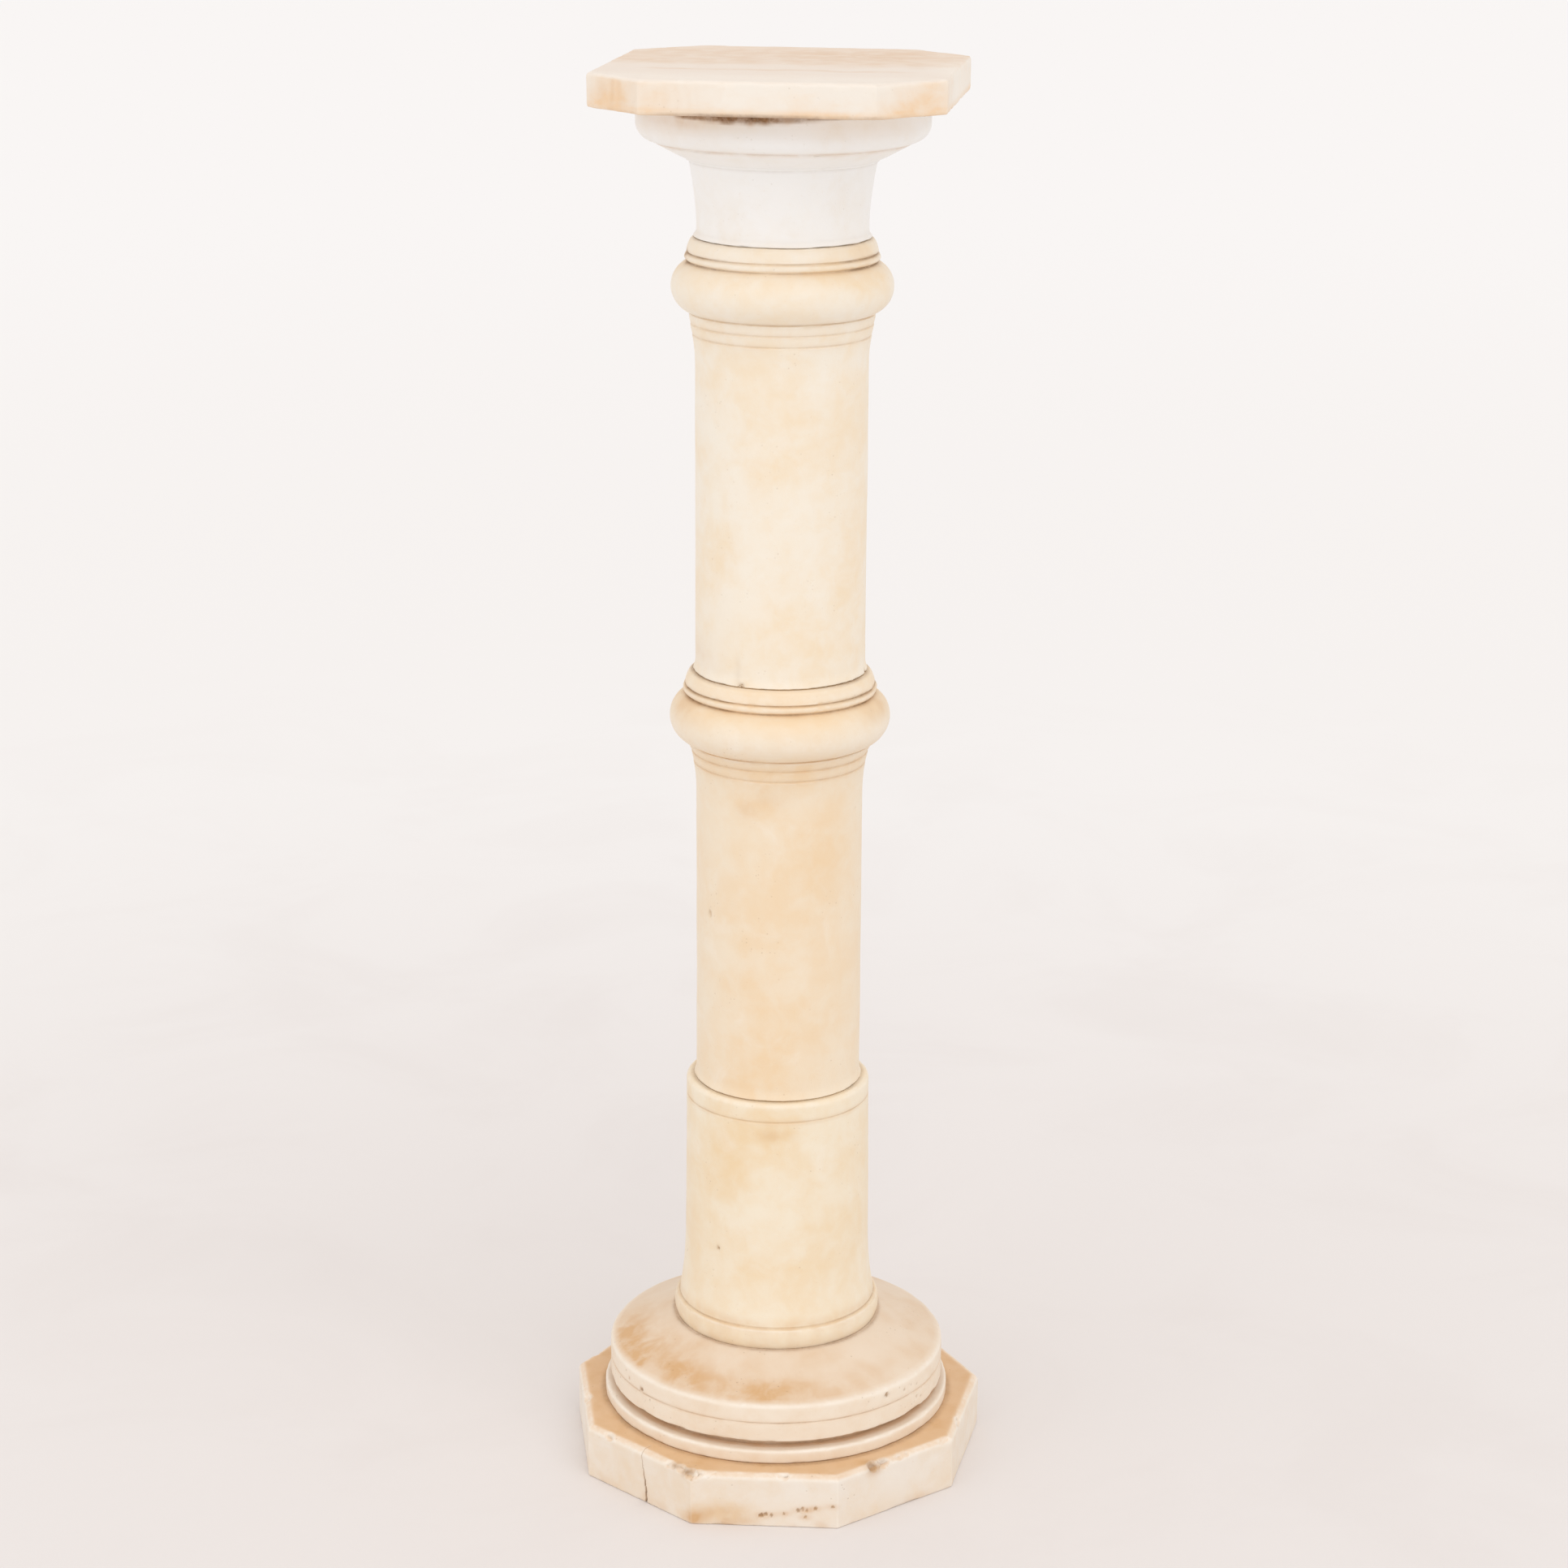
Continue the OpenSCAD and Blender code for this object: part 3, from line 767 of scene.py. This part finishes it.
def shape_slab():
    """Flat slab, a rectangle with its corners cut across, a little worn along its edges.

    A prism drawn in by its bevelled profile. Its last ring, scaled evenly to the axis, makes the top.
    """
    low, high = node_span("top_slab")
    wide, deep, cant, bevel, turn = 234, 244, 41, 1.5, -8.1
    w, d = wide / 2, deep / 2
    corners = np.array([(w - cant, -d), (w, -d + cant), (w, d - cant), (w - cant, d),
                        (-w + cant, d), (-w, d - cant), (-w, -d + cant), (-w + cant, -d)])
    a = math.radians(turn)
    corners = corners @ np.array([[math.cos(a), math.sin(a)], [-math.sin(a), math.cos(a)]])
    profile = outline([
        [(60, low), (ARRIS, low), (0, low + ARRIS), (0, high - bevel), (bevel, high), (8, high)],
    ], rounding=1.1, step=1.5)
    places = [crowd(0, 1, count + 1, [])[1:] for count in (44, 72, 30, 60, 30, 72, 40, 130)]
    edge = prism(corners, profile, 1.6, places)
    inner_rings = 40
    shrink = 1 - np.linspace(0, 1, inner_rings + 2)[1:-1]
    inner = edge[-1] * np.stack([shrink, shrink, np.ones_like(shrink)], -1)[:, None, :]
    grid = np.concatenate([edge, inner])
    grid = sink(grid, 0.1 * np.clip(1 + unevenness(grid, 70, 101), 0, None))
    rim_rows = np.arange(len(grid)) < len(edge) - 1
    grid = np.where(rim_rows[:, None, None], worn_arrises(grid, 103, 0.9), grid)
    chips = [((-58, -118.5, 974.5), 5), ((20, -127.5, 974.4), 4.4), ((76, -136.5, 1003.6), 5.4),
             ((104, 112, 1003.6), 6), ((-118, 60, 1003.4), 5.4), ((95.5, -107.5, 974.2), 5),
             ((-20, 129, 1003.4), 5)]
    grid, cut = chipped(grid, chips, seed=270)
    x, y, z = np.moveaxis(grid, -1, 0)
    side = 1 - ramp(z, high - 2.5, high - 0.4)
    on_top = ramp(z, high - 1.2, high - 0.3)
    back = y * math.cos(a) - x * math.sin(a)
    blotch = unevenness(grid, 34, 105)
    warm = (side * (1.3 * near(grid, (-112, -90, 988), (18, 28, 20))
                    + 0.6 * near(grid, (-80, -116, 988), (24, 14, 20))
                    + 1.1 * near(grid, (92, -116, 986), (22, 24, 14))
                    + 1.2 * ramp(low + 6.5 - z, 0, 5))
            + on_top * 0.7 * ramp(back + 8 * blotch, -30, 20))
    ripple = 0.5 + 0.5 * np.sin(x * 0.9 + 2.2 * unevenness(grid, 20, 106))
    line = bell(back + 44 + 3 * blotch, 4.5) * (1 - ramp(np.abs(x + 5), 70, 95))
    far_half = ramp(back + 7 * blotch, -24, 8) * (1 - 0.3 * ramp(back, 80, 112))
    stain = (side * ripple * (0.22 * near(grid, (-110, -90, 990), (16, 24, 14))
                              + 0.12 * near(grid, (-70, -118, 990), (20, 10, 12)))
             + on_top * (0.3 * far_half + 0.18 * near(grid, (62, 60, high), (60, 30, 10)) + 0.34 * line)
             + 0.3 * ramp(cut, 0.6, 1.6) + 0.25 * side * ramp(low + 2.5 - z, 0, 2))
    # Darker ring on the underside along the capital's outline, and along the lower arris of the front a
    # painted shadow line with some dirt, for the dark gap under the slab
    capital_r = 98
    dark = 0.8 * bell(from_axis(grid) - capital_r, 2.5) * (z < low + 0.3)
    low_arris = ramp(low + 3 - z, 0, 1.5) * ramp(-back, 100, 115)
    low_arris *= 1 - ramp(np.abs(x + 8), 62, 88)
    dark += low_arris * (0.4 + 0.35 * near(grid, (-30, -120, low), (36, 30, 8)))
    pale = (side * 0.9 * near(grid, (118, -20, 988), (14, 70, 14))
            + 0.5 * on_top * ramp(-back, 62, 100)
            + 0.6 * on_top * near(grid, (112, -30, high), (16, 70, 10))
            + 0.35 * side * near(grid, (-20, -124, 992), (40, 14, 8)))
    return grid, dict(warm=warm, stain=stain, dark=dark, pale=pale, hollow_darkening=0.5, wear=0.2)


# --------------- materials

def tint(red, green, blue):
    """A screen colour, 0 to 255, as the linear colour that shader sockets take."""
    c = np.array([red, green, blue]) / 255
    linear = np.where(c <= 0.04045, c / 12.92, ((c + 0.055) / 1.055) ** 2.4)
    return (*linear.tolist(), 1.0)


class Nodes:
    """Adds nodes to a tree and links them, so that a material reads as a list of steps."""

    def __init__(self, tree):
        self.tree = tree
        self.link = tree.links.new

    def add(self, kind, links=None, **values):
        """New node with these properties. links gives each input a constant or another node's output."""
        node = self.tree.nodes.new(kind)
        for key, value in values.items():
            setattr(node, key, value)
        for socket, source in (links or {}).items():
            target = node.inputs[socket]
            if hasattr(source, "is_output"):
                self.link(source, target)
            else:
                target.default_value = source
        return node

    def math(self, operation, a, b, clamp=False):
        return self.add("ShaderNodeMath", {0: a, 1: b}, operation=operation, use_clamp=clamp).outputs[0]

    def plus(self, a, b, clamp=False):
        return self.math("ADD", a, b, clamp)

    def times(self, a, b, clamp=False):
        return self.math("MULTIPLY", a, b, clamp)

    def remap(self, value, low, high, to_low=0.0, to_high=1.0):
        """Takes low to high smoothly to to_low to to_high."""
        node = self.add("ShaderNodeMapRange", {"Value": value, "From Min": low, "From Max": high,
                                               "To Min": to_low, "To Max": to_high},
                        interpolation_type="SMOOTHSTEP")
        return node.outputs["Result"]

    def noise(self, vector, scale, detail=4.0, rough=0.55, twist=0.0):
        node = self.add("ShaderNodeTexNoise", {"Vector": vector, "Scale": scale, "Detail": detail,
                                               "Roughness": rough, "Distortion": twist})
        return node.outputs["Fac"]

    def blend(self, amount, under, over):
        """Lays one colour over another. Sockets 0, 6 and 7 are the amount and the colours, 2 the result."""
        return self.add("ShaderNodeMix", {0: amount, 6: under, 7: over}, data_type="RGBA").outputs[2]


def cleared(owner):
    """Node adder for a material or world whose own tree has been emptied."""
    owner.use_nodes = True
    owner.node_tree.nodes.clear()
    return Nodes(owner.node_tree)


def new_group(name, inputs, outputs):
    """Empty shader node group with float or vector sockets, and its input and output nodes."""
    tree = bpy.data.node_groups.new(name, "ShaderNodeTree")
    for label, kind, default in inputs:
        socket = tree.interface.new_socket(name=label, in_out="INPUT", socket_type=kind)
        if default is not None:
            socket.default_value = default
    for label, kind in outputs:
        tree.interface.new_socket(name=label, in_out="OUTPUT", socket_type=kind)
    nodes = Nodes(tree)
    return nodes, nodes.add("NodeGroupInput").outputs, nodes.add("NodeGroupOutput").inputs


def clouds_group():
    """Soft mottling inside the stone: broad drifts broken by smaller clouds, and thin pale veils."""
    n, given, out = new_group("stone_clouds", [
        ("Vector", "NodeSocketVector", None), ("Broad", "NodeSocketFloat", 14.0),
        ("Small", "NodeSocketFloat", 60.0), ("Cover", "NodeSocketFloat", 0.5),
    ], [("Drift", "NodeSocketFloat"), ("Veil", "NodeSocketFloat"), ("Fleck", "NodeSocketFloat")])
    broad = n.noise(given["Vector"], given["Broad"], 3.0, 0.55, 0.5)
    small = n.noise(given["Vector"], given["Small"], 5.0, 0.6, 0.3)
    both = n.plus(n.times(broad, 0.55), n.times(small, 0.45))
    lifted = n.plus(both, n.times(n.math("SUBTRACT", given["Cover"], 0.5), 0.5))
    n.link(n.remap(lifted, 0.32, 0.70), out["Drift"])
    veil = n.noise(given["Vector"], 26.0, 6.0, 0.65, 0.9)
    n.link(n.remap(veil, 0.52, 0.74), out["Veil"])
    fleck = n.noise(given["Vector"], 260.0, 3.0, 0.6)
    n.link(n.remap(fleck, 0.64, 0.78), out["Fleck"])
    return n.tree


def soil_group():
    """The dirt in hollows, which holds painted shade too, and the rubbing on arrises, which holds painted
    highlights too, each broken up so that no line is even.
    """
    n, given, out = new_group("stone_soil", [
        ("Vector", "NodeSocketVector", None), ("Hollow", "NodeSocketFloat", 0.0),
        ("Edge", "NodeSocketFloat", 0.0), ("Stain", "NodeSocketFloat", 0.0),
    ], [("Dirt and shade", "NodeSocketFloat"), ("Rubbed and highlight", "NodeSocketFloat"), ("Stained", "NodeSocketFloat")])
    patch = n.remap(n.noise(given["Vector"], 45.0, 4.0, 0.6), 0.3, 0.62, 0.5, 1.0)
    crumb = n.remap(n.noise(given["Vector"], 320.0, 3.0, 0.65), 0.35, 0.62, 0.8, 1.05)
    dirt = n.times(n.times(given["Hollow"], patch), crumb, clamp=True)
    n.link(dirt, out["Dirt and shade"])
    n.link(n.times(given["Edge"], n.times(patch, crumb), clamp=True), out["Rubbed and highlight"])
    uneven = n.remap(n.noise(given["Vector"], 60.0, 3.0, 0.55, 0.3), 0.3, 0.68, 0.4, 1.2)
    n.link(n.times(given["Stain"], uneven, clamp=True), out["Stained"])
    return n.tree


def skin_group():
    """Height of the stone's skin, in parts of its bump: fine grain, faint waves and pinholes."""
    n, given, out = new_group("stone_skin", [
        ("Vector", "NodeSocketVector", None), ("Pinholes", "NodeSocketFloat", 0.5),
    ], [("Height", "NodeSocketFloat"), ("Hole", "NodeSocketFloat")])
    grain = n.noise(given["Vector"], 900.0, 4.0, 0.6)
    wave = n.noise(given["Vector"], 90.0, 3.0, 0.5)
    cell = n.add("ShaderNodeTexVoronoi", {"Vector": given["Vector"], "Scale": 210.0, "Randomness": 1.0})
    hole = n.remap(cell.outputs["Distance"], 0.05, 0.17, 1.0, 0.0)
    rare = n.remap(n.noise(given["Vector"], 38.0, 2.0, 0.5), 0.52, 0.66)
    hole = n.times(n.times(hole, rare), given["Pinholes"], clamp=True)
    height = n.plus(n.times(grain, 0.25), n.times(wave, 0.5))
    n.link(n.math("SUBTRACT", height, n.times(hole, 1.6)), out["Height"])
    n.link(hole, out["Hole"])
    return n.tree


CLOUDS, SOIL, SKIN = clouds_group(), soil_group(), skin_group()
DIRT_AND_SHADE = tint(138, 101, 66)
PATINA = tint(214, 168, 114)
PALE_CREAM = tint(251, 244, 233)


def stone_material(name, pale, honey, ledge, cover, shift, ledge_amount, pinholes, rough,
                   stretch=(1.0, 1.0, 1.0), mottle=0.55, dirt_and_shade_amount=0.75):
    """One stone: pale ground, honey mottling, a browned ledge, stains, rubbed arrises with painted
    highlights, and dirt with painted shade.
    """
    material = bpy.data.materials.new(name)
    n = cleared(material)
    place = n.add("ShaderNodeTexCoord").outputs["Object"]
    drift_place = n.add("ShaderNodeMapping", {"Vector": place, "Location": shift,
                                              "Scale": stretch}).outputs[0]
    mask = {key: n.add("ShaderNodeAttribute", attribute_name=key).outputs["Fac"]
            for key in ("grime_and_shade", "wear_and_highlight", "ledge", "warm", "stain")}
    clouds = n.add("ShaderNodeGroup", node_tree=CLOUDS)
    n.link(drift_place, clouds.inputs["Vector"])
    clouds.inputs["Cover"].default_value = cover
    soil = n.add("ShaderNodeGroup", node_tree=SOIL)
    skin = n.add("ShaderNodeGroup", node_tree=SKIN)
    for node in (soil, skin):
        n.link(place, node.inputs["Vector"])
    n.link(mask["grime_and_shade"], soil.inputs["Hollow"])
    n.link(mask["wear_and_highlight"], soil.inputs["Edge"])
    n.link(mask["stain"], soil.inputs["Stain"])
    skin.inputs["Pinholes"].default_value = pinholes
    drift, veil, fleck = (clouds.outputs[k] for k in ("Drift", "Veil", "Fleck"))
    honeyed = n.plus(n.times(drift, mottle),
                     n.times(mask["warm"], n.remap(drift, 0.0, 1.0, 0.5, 0.8)), clamp=True)
    colour = n.blend(honeyed, pale, honey)
    colour = n.blend(n.times(veil, 0.22), colour, PALE_CREAM)
    colour = n.blend(n.times(mask["ledge"], ledge_amount), colour, ledge)
    colour = n.blend(n.times(fleck, 0.1), colour, PATINA)
    colour = n.blend(n.times(soil.outputs["Stained"], 0.85), colour, PATINA)
    colour = n.blend(n.times(soil.outputs["Rubbed and highlight"], 0.75), colour, PALE_CREAM)
    colour = n.blend(n.times(skin.outputs["Hole"], 0.55), colour, DIRT_AND_SHADE)
    colour = n.blend(n.times(soil.outputs["Dirt and shade"], dirt_and_shade_amount), colour, DIRT_AND_SHADE)
    gloss = n.plus(n.remap(drift, 0.0, 1.0, rough + 0.05, rough - 0.04),
                   n.times(soil.outputs["Dirt and shade"], 0.3))
    bump = n.add("ShaderNodeBump", {"Height": skin.outputs["Height"], "Strength": 0.35,
                                    "Distance": 0.0006})
    shader = n.add("ShaderNodeBsdfPrincipled", {"Base Color": colour, "Roughness": gloss,
                                                "Normal": bump.outputs["Normal"]})
    shader.inputs["Specular IOR Level"].default_value = 0.4
    out = n.add("ShaderNodeOutputMaterial")
    n.link(shader.outputs[0], out.inputs["Surface"])
    return material


# --------------- the seven stones

STONES = {
    "plinth": (shape_plinth, "plinth_stone", dict(
        pale=tint(242, 233, 221), honey=tint(234, 207, 170), ledge=tint(228, 190, 148), cover=0.42,
        shift=(0.1, 0.2, 0.3), ledge_amount=0.85, pinholes=0.55, rough=0.56)),
    "turned_base": (shape_base, "base_stone", dict(
        pale=tint(245, 232, 214), honey=tint(231, 200, 163), ledge=tint(229, 209, 187), cover=0.42,
        shift=(0.7, 0.1, 0.4), ledge_amount=0.6, pinholes=0.5, rough=0.52)),
    "lower_shaft": (shape_lower_shaft, "lower_stone", dict(
        pale=tint(246, 235, 214), honey=tint(242, 217, 178), ledge=tint(238, 216, 184), cover=0.5,
        shift=(0.3, 0.9, 0.2), ledge_amount=0.3, pinholes=0.35, rough=0.48, mottle=0.75)),
    "middle_shaft": (shape_middle_shaft, "middle_stone", dict(
        pale=tint(244, 231, 210), honey=tint(242, 215, 178), ledge=tint(238, 213, 178), cover=0.5,
        shift=(0.5, 0.4, 0.8), ledge_amount=0.25, pinholes=0.35, rough=0.48)),
    "upper_shaft": (shape_upper_shaft, "upper_stone", dict(
        pale=tint(247, 239, 225), honey=tint(245, 224, 192), ledge=tint(243, 226, 202), cover=0.46,
        shift=(0.2, 0.6, 0.1), ledge_amount=0.2, pinholes=0.3, rough=0.48, mottle=0.8)),
    "capital": (shape_capital, "capital_stone", dict(
        pale=tint(250, 249, 247), honey=tint(242, 231, 214), ledge=tint(242, 235, 225), cover=0.3,
        shift=(0.9, 0.3, 0.5), ledge_amount=0.1, pinholes=0.25, rough=0.5,
        dirt_and_shade_amount=1.0)),
    "top_slab": (shape_slab, "slab_stone", dict(
        pale=tint(244, 236, 225), honey=tint(243, 211, 174), ledge=tint(237, 223, 210), cover=0.4,
        stretch=(1.0, 1.0, 1.6), shift=(0.4, 0.8, 0.6), ledge_amount=0.7, pinholes=0.35, rough=0.5)),
}

for node, (shape, slot, finish) in STONES.items():
    grid, paint = shape()
    piece = stone(node + "_stone", grid, slot, stone_material(slot, **finish), paint)
    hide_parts(node)


# --------------- floor, lamps and camera

def make_floor():
    """Wide pale floor that keeps the column's soft shadow; its colour is painted paler with distance,
    painted light in place of the light's fall-off across the floor.
    """
    half = 30.0
    mesh = bpy.data.meshes.new("floor")
    mesh.from_pydata([(-half, -half, 0), (half, -half, 0), (half, half, 0), (-half, half, 0)], [],
                     [(0, 1, 2, 3)])
    floor = bpy.data.objects.new("floor", mesh)
    bpy.context.scene.collection.objects.link(floor)
    material = bpy.data.materials.new("pale_floor")
    n = cleared(material)
    place = n.add("ShaderNodeTexCoord").outputs["Object"]
    away = n.add("ShaderNodeVectorMath", {0: place}, operation="LENGTH").outputs["Value"]
    scuffs = n.times(n.remap(n.noise(place, 3.5, 5.0, 0.6, 0.8), 0.42, 0.7),
                    n.remap(away, 0.6, 2.6, 0.22, 0.0))
    # Painted light: the floor's colour grows paler with distance, in two steps.
    colour = n.blend(n.remap(away, 0.2, 1.9), tint(235, 230, 228), tint(243, 241, 240))
    colour = n.blend(n.remap(away, 1.5, 7.0), colour, tint(246, 245, 245))
    colour = n.blend(scuffs, colour, tint(226, 219, 216))
    shader = n.add("ShaderNodeBsdfDiffuse", {"Color": colour})
    out = n.add("ShaderNodeOutputMaterial")
    n.link(shader.outputs[0], out.inputs["Surface"])
    mesh.materials.append(material)


def make_lamp(name, strength, angle, height, side):
    """Very soft sun: height is how far above the floor it stands and side how far right of front."""
    lamp = bpy.data.lights.new(name, "SUN")
    lamp.energy = strength
    lamp.angle = math.radians(angle)
    thing = bpy.data.objects.new(name, lamp)
    thing.rotation_euler = Euler((math.radians(90 - height), 0, math.radians(side)))
    bpy.context.scene.collection.objects.link(thing)


def make_world(strength):
    """Even white surroundings, seen by the camera as plain off-white."""
    world = bpy.data.worlds.new("studio")
    bpy.context.scene.world = world
    n = cleared(world)
    seen = n.add("ShaderNodeLightPath").outputs["Is Camera Ray"]
    level = n.remap(seen, 0.0, 1.0, strength, 0.93)
    shade = n.add("ShaderNodeBackground", {"Color": tint(255, 252, 250), "Strength": level})
    out = n.add("ShaderNodeOutputWorld")
    n.link(shade.outputs[0], out.inputs["Surface"])


def make_camera():
    """Long lens a little above the slab's height, looking down at the column's middle."""
    lens, distance, height, down, roll, shift = 81.36, 2.3757, 1.2257, 16.92, 0.338, 0.00288
    data = bpy.data.cameras.new("camera")
    data.lens = lens
    data.sensor_width = 36.0
    data.shift_x = shift
    camera = bpy.data.objects.new("camera", data)
    turn = Euler((math.radians(90 - down), 0, 0)).to_matrix().to_4x4()
    level = Matrix.Rotation(math.radians(roll), 4, "Z")
    camera.matrix_world = Matrix.Translation((0, -distance, height)) @ turn @ level
    bpy.context.scene.collection.objects.link(camera)
    bpy.context.scene.camera = camera


make_floor()
make_world(0.84)
make_lamp("key", 0.6, 50, 48, 28)
make_lamp("fill", 0.3, 60, 30, -55)
make_camera()
bpy.context.scene.view_settings.view_transform = "Standard"
